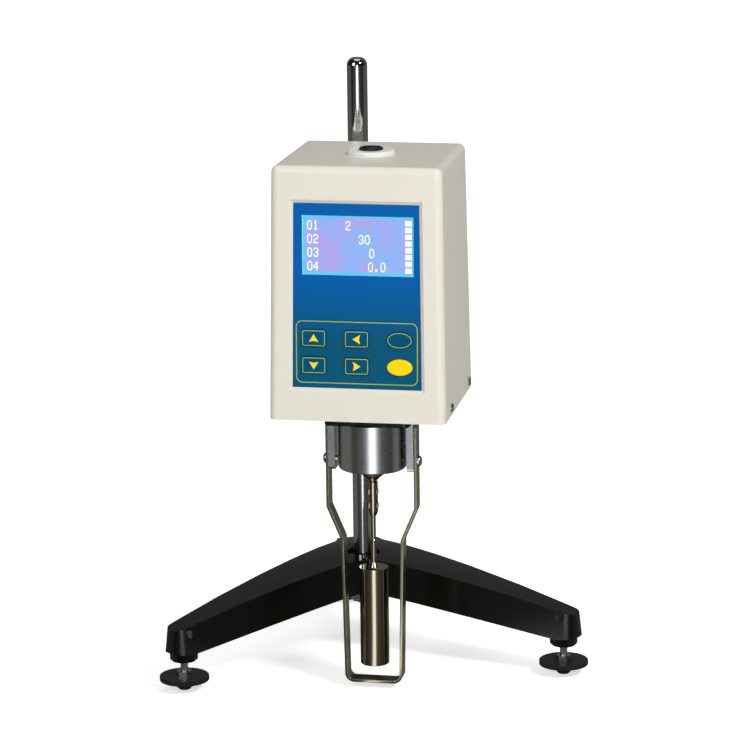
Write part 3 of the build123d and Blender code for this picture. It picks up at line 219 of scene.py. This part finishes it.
turned_aluminium = lathe_turned("turned_aluminium", "#cfd1d3", 0.5, 0.02, (0.18, 0.32))
rotor_steel = lathe_turned("ground_stainless_steel", "#b3a790", 0.4, 0.01, (0.05, 0.1))
ALONG = (1, 1, 0.04)
strip_steel = lathe_turned("rolled_stainless_strip", "#a39a84", 0.8, 0.02, (0.14, 0.26), ALONG, 0.9)
zinc_plate = wear("bright_zinc_plate", "#b9bcbd", "#aeb2b4", "#c6c8c9", 1.5, (0.18, 0.34), 0.01, Metallic=1.0)
blued_spring = wear("blued_spring_steel", "#56698a", "#4b5d80", "#63769a", 1.0, (0.2, 0.3), Metallic=1.0)
turned_brass = lathe_turned("turned_brass", "#b8954a", 0.4, 0.01, (0.18, 0.3))

# %% [markdown]
# The front panel is a polyester film, printed on its back and glued to a plate. Its print is blue, and a
# painted shade runs over it from a clear blue at the top to a deep blue green at the bottom; the keys take
# the same painted shade. A fine matt texture on its face keeps lamps from glaring in it.

# %% Printed film with painted shade
def shaded_film(name, top, bottom, rough):
    """Film with a painted shade that runs from top to bottom over the panel's height."""
    low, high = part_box("front_panel")
    mat, tree, shader = material(name, Roughness=rough, Specular_IOR_Level=0.06)
    place = add(tree, "ShaderNodeTexCoord").outputs["Object"]
    height = add(tree, "ShaderNodeSeparateXYZ", {"Vector": place}).outputs["Z"]
    share = {"Value": height, "From Min": low.z, "From Max": high.z}
    factor = add(tree, "ShaderNodeMapRange", share).outputs["Result"]
    # Painted shade: the top colour at the panel's top, darker blue green towards its bottom.
    tree.links.new(ramp(tree, factor, 0.25, 0.6, bottom, top), shader.inputs["Base Color"])
    relief(tree, shader, grain(tree, 0.5), 0.01, 0.4)
    return mat


film = shaded_film("printed_polyester_film_painted_shade", "#0158a0", "#065070", 0.4)
key_film = shaded_film("embossed_polyester_key_painted_shade", "#015290", "#054d6c", 0.14)

# %% [markdown]
# Printing inks and small mouldings. Ink is opaque and slightly glossy. ABS is the usual plastic of
# switches and trims; nylon, which the foot wheels and pads are made of, is duller.

# %% Inks and plastics
yellow_ink = wear("olive_yellow_screen_ink", "#9fb216", "#98ab12", "#a6b91d", 0.8, (0.4, 0.5))
bright_ink = wear("bright_yellow_screen_ink", "#f0d018", "#ebca12", "#f5d722", 0.8, (0.35, 0.45))
yellow_key = wear("yellow_embossed_key", "#f4cf02", "#efc800", "#f7d506", 1.2, (0.14, 0.2),
                  Specular_IOR_Level=0.3)
white_abs = wear("white_abs", "#e4e4df", "#e0e0da", "#e8e8e4", 2.0, (0.3, 0.4))
black_abs = wear("black_abs", "#0c0c0d", "#09090a", "#101011", 1.0, (0.22, 0.34), 0.005)
black_nylon = wear("black_nylon", "#141413", "#10100f", "#1b1b1a", 0.7, (0.34, 0.5), 0.02)
board_lacquer = wear("green_solder_resist", "#1f6b3c", "#1b6236", "#247342", 3.0, (0.3, 0.42))
motor_lacquer = wear("black_motor_lacquer", "#1c1c1c", "#171717", "#222222", 1.0, (0.35, 0.5), 0.02)

# %% [markdown]
# Glass and ruby let light through and bend it. The window is thin clear glass; the level's vial is
# filled with yellow-green spirit. Both use the shader's transmission.

# %% Clear materials
def clear(name, shade, rough, ior):
    """Glass or stone of one colour, with the least change of polish over its face."""
    mat, tree, shader = material(name, Base_Color=linear(shade), IOR=ior)
    shader.inputs["Transmission Weight"].default_value = 1.0
    tree.links.new(spread(tree, grain(tree, 20.0), rough, rough + 0.02), shader.inputs["Roughness"])
    return mat


window_glass = clear("float_glass", "#fbfdff", 0.0, 1.45)
vial_glass = clear("spirit_filled_glass", "#dfe6b0", 0.0, 1.45)
ruby = clear("synthetic_ruby", "#c01846", 0.05, 1.76)

# %% [markdown]
# The display is a blue-lit panel. Its edge light leaks in round the rim as cyan, and the middle
# has soft clouds of light blue and of violet pink, as such panels do when seen from above.

# %% Lit display
def lit_display():
    """Glowing field of the display, with a brighter rim all round."""
    mat, tree, shader = material("led_lit_liquid_crystal", Roughness=0.3)
    low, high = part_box("display_window")
    place = add(tree, "ShaderNodeTexCoord").outputs["Object"]
    axes = add(tree, "ShaderNodeSeparateXYZ", {"Vector": place})
    edges = []
    for axis, lo, hi in (("X", low.x, high.x), ("Z", low.z, high.z)):
        middle, half = (lo + hi) / 2, (hi - lo) / 2
        away = calc(tree, "ABSOLUTE", calc(tree, "SUBTRACT", axes.outputs[axis], middle))
        near = {"Value": away, "From Min": half - 3.0 * MM, "From Max": half - 0.5 * MM}
        edge = add(tree, "ShaderNodeMapRange", near, interpolation_type="SMOOTHSTEP")
        edges.append(edge.outputs["Result"])
    rim = calc(tree, "MAXIMUM", *edges)
    field = ramp(tree, grain(tree, 24.0), 0.36, 0.6, "#bda9f4", "#92bdff")
    shader.inputs["Base Color"].default_value = linear("#101830")
    tree.links.new(blend(tree, rim, field, linear("#5ad4ff")), shader.inputs["Emission Color"])
    shader.inputs["Emission Strength"].default_value = 0.95
    return mat


display_light = lit_display()
DOT_WHITE = linear("#f4f4ff")
segment_light, tree, shader = material("white_liquid_crystal_dots", Base_Color=DOT_WHITE, Roughness=0.3)
tree.links.new(ramp(tree, grain(tree, 1.5), 0.2, 0.8, "#f2f0ff", "#ffffff"), shader.inputs["Emission Color"])
shader.inputs["Emission Strength"].default_value = 0.9

# %% [markdown]
# Each solid now takes its finish. A list of material and node names keeps this step short, and its end
# prints any solid that was left without one.

# %% Finishes for the solids
BLUE_KEYS = ("key_up", "key_left", "key_reset", "key_down", "key_right")
FINISHES = [
    (hood_paint, ["hood"]),
    (enamel, ["base_casting", "mount_flange"]),
    (clamp_enamel, ["lift_clamp"]),
    (chrome, ["column"]),
    (turned_aluminium, ["pivot_housing", "chassis_plate", "motor_deck", "sensor_post", "guard_lugs"]),
    (rotor_steel, ["rotor", "spindle_coupling", "pivot_shaft", "pivot_cap", "pinion_shaft", "mounting_arm"]),
    (strip_steel, ["guard_frame"]),
    (zinc_plate, ["column_nut", "column_lock_screw", "arm_lock_screw", "hood_screws", "guard_screws"]),
    (zinc_plate, ["rear_bracket"]),
    (film, ["front_panel"]),
    (key_film, BLUE_KEYS),
    (yellow_key, ["key_enter"]),
    (window_glass, ["display_window"]),
    (vial_glass, ["level_vial"]),
    (ruby, ["jewel_bearing"]),
    (display_light, ["display_module"]),
    (white_abs, ["level_bezel"]),
    (black_abs, ["level_ring", "power_socket", "switch_frame", "switch_rocker", "key_switches"]),
    (black_nylon, ["lift_knob", "upper_encoder_disc", "lower_encoder_disc", "optical_sensors"]),
    (board_lacquer, ["keypad_board", "main_board"]),
    (motor_lacquer, ["stepper_motor"]),
    (blued_spring, ["hairspring"]),
    (turned_brass, ["drive_shaft", "deck_posts"]),
]
for foot in ("front_left", "front_right", "rear"):
    FINISHES.append((zinc_plate, [f"foot_screw_{foot}"]))
    FINISHES.append((black_nylon, [f"foot_pad_{foot}", f"foot_wheel_{foot}"]))


def finish(obj, mat):
    """Fills every slot of an object with one material."""
    if not obj.data.materials:
        obj.data.materials.append(mat)
    for slot in obj.material_slots:
        slot.material = mat


dressed = set()
for mat, names in FINISHES:
    for name in names:
        finish(nodes[name], mat)
        dressed.add(name)
print("finished solids:", len(dressed), "left over:", sorted(set(nodes) - dressed))

# %% [markdown]
# The panel leans back a little with the hood's front. Prints are easier to place in the panel's own
# flat coordinates, so its mesh is asked for its plane: the largest face that looks forwards.

# %% The panel's plane
panel_mesh = nodes["front_panel"].data
front = max((p for p in panel_mesh.polygons if p.normal.y < -0.9), key=lambda p: p.area)
PANEL_OUT = front.normal.normalized()
PANEL_RIGHT = Vector((1, 0, 0))
PANEL_UP = PANEL_OUT.cross(PANEL_RIGHT).normalized()
low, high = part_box("front_panel")
PANEL_X = (low.x + high.x) / 2
PANEL_Z = (low.z + high.z) / 2
on_plane = panel_mesh.vertices[front.vertices[0]].co
PANEL_Y = on_plane.y - (PANEL_Z - on_plane.z) * PANEL_OUT.z / PANEL_OUT.y
PANEL_CENTRE = Vector((PANEL_X, PANEL_Y, PANEL_Z))


def on_panel(u, v, out=0.0):
    """A point from millimetres right of and above the panel's centre, and out of its face."""
    return PANEL_CENTRE + (PANEL_RIGHT * u + PANEL_UP * v + PANEL_OUT * out) * MM


def panel_place(name):
    """A solid's middle in the panel's coordinates, in millimetres."""
    low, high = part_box(name)
    offset = (low + high) / 2 - PANEL_CENTRE
    return offset.dot(PANEL_RIGHT) / MM, offset.dot(PANEL_UP) / MM


def face_height(name):
    """How far a solid's outermost point stands out of the panel's face, in millimetres."""
    return max((v.co - PANEL_CENTRE).dot(PANEL_OUT) for v in nodes[name].data.vertices) / MM


print("panel leans back", round(math.degrees(math.asin(PANEL_OUT.z)), 2), "degrees")

# %% [markdown]
# Ink has hardly any thickness, but a mesh needs some. Each print is a thin closed prism from an
# outline, with a second outline inside it where the print is a ring. On the keys, whose edges are
# rounded, the prism's foot is sunk a little into the key.

# %% Flat prints
INK = 0.06
SUNK = 0.3


def prism(mesh, outer, out_low, out_high, inner=None):
    """Adds a prism on the panel from an outline of (u, v) points, or a ring between two outlines."""
    loops = []
    for outline in (outer, inner):
        if outline:
            loops.append([[mesh.verts.new(on_panel(u, v, out)) for u, v in outline]
                          for out in (out_low, out_high)])
    count = len(outer)
    if inner:
        (outer_low, outer_high), (inner_low, inner_high) = loops
        walls = [(outer_low, outer_high), (outer_high, inner_high),
                 (inner_high, inner_low), (inner_low, outer_low)]
    else:
        walls = [tuple(loops[0])]
        mesh.faces.new(reversed(loops[0][0]))
        mesh.faces.new(loops[0][1])
    for one, other in walls:
        for i in range(count):
            j = (i + 1) % count
            mesh.faces.new((one[i], one[j], other[j], other[i]))


def rounded(u, v, wide, tall, radius, steps=6):
    """Outline of a rounded rectangle, anticlockwise."""
    points = []
    for corner, (sx, sy) in enumerate(((1, 1), (-1, 1), (-1, -1), (1, -1))):
        cu, cv = u + sx * (wide / 2 - radius), v + sy * (tall / 2 - radius)
        for step in range(steps + 1):
            angle = math.pi / 2 * (corner + step / steps)
            points.append((cu + radius * math.cos(angle), cv + radius * math.sin(angle)))
    return points


def oval(u, v, wide, tall, steps=48):
    """Outline of an ellipse, anticlockwise."""
    turns = [2 * math.pi * i / steps for i in range(steps)]
    return [(u + wide / 2 * math.cos(a), v + tall / 2 * math.sin(a)) for a in turns]


def piece(name, mesh, mat, body):
    """Turns a bmesh into a finished object that rides on a body."""
    bmesh.ops.recalc_face_normals(mesh, faces=mesh.faces)
    data = bpy.data.meshes.new(name)
    mesh.to_mesh(data)
    mesh.free()
    made = bpy.data.objects.new(name, data)
    bpy.context.scene.collection.objects.link(made)
    data.materials.append(mat)
    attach(made, body)
    return made


print("a print stands", INK, "mm proud")

# %% [markdown]
# The key field is framed by one fine line, printed on the film.

# %% Line round the keys
LINE = 0.55
FIELD = (0.0, -35.7, 77.8, 39.7, 4.0)
u, v, wide, tall, radius = FIELD
lines = bmesh.new()
line_outer = rounded(u, v, wide, tall, radius)
line_inner = rounded(u, v, wide - 2 * LINE, tall - 2 * LINE, radius - LINE)
prism(lines, line_outer, 0, INK, line_inner)
piece("printed_key_field_line", lines, yellow_ink, "head")
print("key field", wide, "by", tall, "mm")

# %% [markdown]
# Each blue key has a fine ring near its edge, and the signs say what it does: arrow heads with a
# slightly hollow base for up, down, left and right. The yellow key is plain.

# %% Key signs
def key_face(name):
    """Size of a key's face and its height over the panel."""
    low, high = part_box(name)
    return (high.x - low.x) / MM, (high.z - low.z) / MM, face_height(name)


SIGNS = {
    "key_up": [(-3.0, -2.3), (0, -1.6), (3.0, -2.3), (0, 2.6)],
    "key_down": [(-3.0, 2.3), (0, -2.6), (3.0, 2.3), (0, 1.6)],
    "key_left": [(-2.6, 0), (2.4, -3.0), (1.6, 0), (2.4, 3.0)],
    "key_right": [(2.6, 0), (-2.4, 3.0), (-1.6, 0), (-2.4, -3.0)],
}
RING_INSET = 0.8
RING_LINES = 0.9
for name in BLUE_KEYS:
    u, v = panel_place(name)
    wide, tall, height = key_face(name)
    wide, tall = wide - RING_INSET, tall - RING_INSET
    if name in SIGNS:
        outer = rounded(u, v, wide, tall, 1.2)
        inner = rounded(u, v, wide - RING_LINES, tall - RING_LINES, 0.8)
    else:
        outer = oval(u, v, wide, tall)
        inner = oval(u, v, wide - RING_LINES, tall - RING_LINES)
    ring = bmesh.new()
    prism(ring, outer, height - SUNK, height + INK, inner)
    piece(f"printed_ring_{name}", ring, yellow_ink, name)
    if name in SIGNS:
        sign = bmesh.new()
        prism(sign, [(u + a, v + b) for a, b in SIGNS[name]], height - SUNK, height + INK)
        piece(f"printed_sign_{name}", sign, bright_ink, name)
print("signs on", len(SIGNS), "keys")

# %% [markdown]
# The display shows its characters as square dots on a grid, five dots wide and seven tall. A small
# table of digits, written as rows of dots, is all it takes, and one loop sets the dots out.

# %% Display characters
DOTS = {
    "0": "01110 10001 10001 10001 10001 10001 01110",
    "1": "00100 01100 00100 00100 00100 00100 01110",
    "2": "01110 10001 00001 00110 01000 10000 11111",
    "3": "01110 10001 00001 00110 00001 10001 01110",
    "4": "00010 00110 01010 10010 11111 00010 00010",
    ".": "00000 00000 00000 00000 00000 01100 01100",
}
DOT_WIDE, DOT_TALL = 0.62, 0.84
DOT_FILL = 0.86
CHARACTER = 3.95
ROW = 8.6
ROWS = [
    [(0, "01"), (6.2, "2")],
    [(0, "02"), (8.3, "30")],
    [(0, "03"), (10.0, "0")],
    [(0, "04"), (9.8, "0.0")],
]
TEXT_LEFT, TEXT_TOP = 3.0, 3.4
BARS = 8
BARS_LEFT, BARS_LOW = 5.4, 1.9
BARS_MARGIN = 3.4
BAR_WIDE, BAR_FILL = 3.9, 0.72
window_low, window_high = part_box("display_window")
window_u, window_v = panel_place("display_window")
window_wide = (window_high.x - window_low.x) / MM
window_tall = (window_high.z - window_low.z) / MM
glass_front = face_height("display_module")


def dot(mesh, u, v, wide, tall):
    """One square dot just in front of the display's face."""
    outline = [(u, v), (u + wide, v), (u + wide, v + tall), (u, v + tall)]
    prism(mesh, outline, glass_front, glass_front + INK)


text_u = window_u - window_wide / 2 + TEXT_LEFT
text_v = window_v + window_tall / 2 - TEXT_TOP
dots = bmesh.new()
for row, texts in enumerate(ROWS):
    placed = [(start + i, character) for start, text in texts for i, character in enumerate(text)]
    for place, character in placed:
        for line, pattern in enumerate(DOTS[character].split()):
            for column, lit in enumerate(pattern):
                if lit == "1":
                    u = text_u + place * CHARACTER + column * DOT_WIDE
                    v = text_v - row * ROW - (line + 1) * DOT_TALL
                    dot(dots, u, v, DOT_WIDE * DOT_FILL, DOT_TALL * DOT_FILL)
piece("display_digits", dots, segment_light, "head")

bars = bmesh.new()
bars_u = window_u + window_wide / 2 - BARS_LEFT
bars_v = window_v - window_tall / 2 + BARS_LOW
step = (window_tall - BARS_MARGIN) / BARS
for i in range(BARS):
    dot(bars, bars_u, bars_v + i * step, BAR_WIDE, step * BAR_FILL)
piece("display_bars", bars, segment_light, "head")
print("display rows:", len(ROWS), "bars:", BARS)

# %% [markdown]
# A circular level is a domed glass over spirit, with one bubble and a black aiming ring. The ring
# and the bubble lie just on the vial, where they can be seen from above.

# %% Bubble in the level
vial_low, vial_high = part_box("level_vial")
VIAL_TOP = ((vial_low.x + vial_high.x) / 2, (vial_low.y + vial_high.y) / 2, vial_high.z)
RING_OUTLINE = [(3.1, 0), (3.5, 0), (3.5, 0.08), (3.1, 0.08)]
BUBBLE_OUTLINE = [(0, -0.1), (2.2, -0.1), (2.0, 0.12), (1.2, 0.26), (0, 0.32)]


def lathe(name, outline, centre, mat, body, steps=40):
    """A closed body of revolution about Z from (radius, height) points, both in millimetres."""
    mesh = bmesh.new()
    rings = []
    for radius, height in outline:
        z = centre[2] + height * MM
        if radius == 0:
            rings.append([mesh.verts.new((centre[0], centre[1], z))])
            continue
        spots = oval(centre[0], centre[1], 2 * radius * MM, 2 * radius * MM, steps)
        rings.append([mesh.verts.new((x, y, z)) for x, y in spots])
    for one, other in zip(rings, rings[1:] + rings[:1]):
        for i in range(steps):
            j = (i + 1) % steps
            corners = [one[i % len(one)], one[j % len(one)]]
            corners += [other[j % len(other)], other[i % len(other)]]
            corners = list(dict.fromkeys(corners))
            if len(corners) > 2:
                mesh.faces.new(corners)
    made = piece(name, mesh, mat, body)
    for polygon in made.data.polygons:
        polygon.use_smooth = True
    return made


lathe("level_aiming_ring", RING_OUTLINE, VIAL_TOP, black_abs, "head")
lathe("level_bubble", BUBBLE_OUTLINE, VIAL_TOP, vial_glass, "head")
print("bubble at", [round(v / MM, 1) for v in VIAL_TOP])

# %% [markdown]
# Flat facets give curved metal away, so every solid is shaded smooth across gentle edges and sharp
# across the rest. This changes only the shading, never the mesh.

# %% Smooth shading
SHARP = math.radians(28)
for obj in nodes.values():
    for polygon in obj.data.polygons:
        polygon.use_smooth = True
    attributes = obj.data.attributes
    split = attributes.get("sharp_edge") or attributes.new("sharp_edge", "BOOLEAN", "EDGE")
    mesh = bmesh.new()
    mesh.from_mesh(obj.data)
    sharp = [edge.calc_face_angle(math.pi) > SHARP for edge in mesh.edges]
    mesh.free()
    split.data.foreach_set("value", sharp)
print("smoothed", len(nodes), "solids")

# %% [markdown]
# The floor is white paper, and it keeps a soft shadow near the object. Polished metal needs dark
# things to reflect, which a photographer sets round it as black flags. Here the floor stands in for
# them: in reflections it is white straight in front of the object and dark to both sides.

# %% Floor
FLOOR = 30.0
floor_mesh = bmesh.new()
corners = [(-FLOOR, -FLOOR), (FLOOR, -FLOOR), (FLOOR, FLOOR), (-FLOOR, FLOOR)]
floor_mesh.faces.new([floor_mesh.verts.new((x, y, cad_box[0][2] - 0.0002)) for x, y in corners])
floor_data = bpy.data.meshes.new("floor")
floor_mesh.to_mesh(floor_data)
floor_mesh.free()
floor = bpy.data.objects.new("floor", floor_data)
bpy.context.scene.collection.objects.link(floor)
floor_paper, tree, shader = material("seamless_white_paper", Roughness=0.9)
rays = add(tree, "ShaderNodeLightPath").outputs
place = add(tree, "ShaderNodeTexCoord").outputs["Object"]
FACING = (0.0, 0.0, -math.radians(10.9))
turned = {"Vector": place, "Location": (0.0, 0.08, 0.0), "Rotation": FACING}
turned = add(tree, "ShaderNodeMapping", turned).outputs["Vector"]
axes = add(tree, "ShaderNodeSeparateXYZ", {"Vector": turned}).outputs
sideways = calc(tree, "ABSOLUTE", axes["X"])
forwards = calc(tree, "MAXIMUM", calc(tree, "MULTIPLY", axes["Y"], -1.0), 0.001)
opening = calc(tree, "MULTIPLY", calc(tree, "DIVIDE", sideways, forwards), 0.25)
flags = bands(tree, opening, [
    (0.04, "#ffffff"),
    (0.06, "#747b84"),
    (0.12, "#353530"),
    (0.3, "#242218"),
    (0.5, "#1a1814"),
    (0.8, "#242521"),
    (1.0, "#50524b"),
])
mirrored = rays["Is Glossy Ray"]
tree.links.new(blend(tree, mirrored, linear("#f0f0ee"), flags), shader.inputs["Base Color"])
tree.links.new(blend(tree, mirrored, linear("#ffffff"), flags), shader.inputs["Emission Color"])
distance = add(tree, "ShaderNodeVectorMath", {0: place}, operation="LENGTH").outputs["Value"]
glow = {"Value": distance, "From Min": 0.3, "From Max": 2.5, "To Min": 0.62, "To Max": 1.0}
glow = add(tree, "ShaderNodeMapRange", glow).outputs["Result"]
glow = calc(tree, "MAXIMUM", glow, mirrored)
seen = calc(tree, "MAXIMUM", rays["Is Camera Ray"], mirrored)
tree.links.new(calc(tree, "MULTIPLY", seen, glow), shader.inputs["Emission Strength"])
floor_data.materials.append(floor_paper)
print("floor half width in metres:", FLOOR)

# %% [markdown]
# The air is white to the eye and through glass, a plain grey as light, and darker in reflections.
# The lamps are soft areas: a key from the front left, which lights the panel, a tall one low in
# front, a smaller one from the upper right, and a weak one overhead.

# %% World and lamps
world = bpy.data.worlds.new("studio")
bpy.context.scene.world = world
world.use_nodes = True
tree = world.node_tree
rays = add(tree, "ShaderNodeLightPath").outputs
seen = calc(tree, "MAXIMUM", rays["Is Camera Ray"], rays["Is Transmission Ray"])
looking = add(tree, "ShaderNodeTexCoord").outputs["Generated"]
rearwards = add(tree, "ShaderNodeSeparateXYZ", {"Vector": looking}).outputs["Y"]
behind = ramp(tree, rearwards, 0.1, 0.7, "#1e1f1e", "#666666")
room = blend(tree, rays["Is Glossy Ray"], linear("#8c8c8c"), behind)
tree.links.new(blend(tree, seen, room, linear("#ffffff")), tree.nodes["Background"].inputs["Color"])


def area_lamp(name, place, target, wide, tall, watts):
    """A rectangular soft white lamp that looks at a point."""
    data = bpy.data.lights.new(name, "AREA")
    data.shape, data.size, data.size_y = "RECTANGLE", wide, tall
    data.energy = watts
    lamp = bpy.data.objects.new(name, data)
    bpy.context.scene.collection.objects.link(lamp)
    lamp.location = place
    lamp.rotation_mode = "QUATERNION"
    lamp.rotation_quaternion = (Vector(place) - Vector(target)).to_track_quat("Z", "Y")


AIM = (0.02, -0.05, 0.2)
area_lamp("key", (-1.1, -2.2, 1.3), AIM, 1.0, 1.2, 18)
area_lamp("front", (0.55, -2.6, 0.1), AIM, 0.5, 1.6, 14)
area_lamp("side", (1.45, -1.1, 1.7), AIM, 0.5, 0.5, 34)
area_lamp("overhead", (0.0, 0.1, 2.0), AIM, 1.2, 1.2, 4)

# %% [markdown]
# The camera stands where the photograph's did, found from the object's own edges: in front, a
# little to the right, looking slightly down through a long lens.

# %% Camera
AZIMUTH, ELEVATION, ROLL = math.radians(10.91), math.radians(13.14), math.radians(-0.72)
TARGET = Vector((15.6, -32.2, 197.5)) * MM
DISTANCE = 2318.8 * MM
LENS = 169.8
level = math.cos(ELEVATION)
back = Vector((math.sin(AZIMUTH) * level, -math.cos(AZIMUTH) * level, math.sin(ELEVATION)))
side = Vector((math.cos(AZIMUTH), math.sin(AZIMUTH), 0))
upward = back.cross(side)
right = side * math.cos(ROLL) + upward * math.sin(ROLL)
upward = back.cross(right)
camera = bpy.data.objects.new("camera", bpy.data.cameras.new("camera"))
bpy.context.scene.collection.objects.link(camera)
camera.data.lens = LENS
camera.data.sensor_width = 36
stand = Matrix.Translation(TARGET + back * DISTANCE)
camera.matrix_world = stand @ Matrix((right, upward, back)).transposed().to_4x4()
camera.data.clip_end = 100
bpy.context.scene.camera = camera
bpy.context.scene.view_settings.view_transform = "Standard"
print("camera at", [round(v, 3) for v in camera.location])
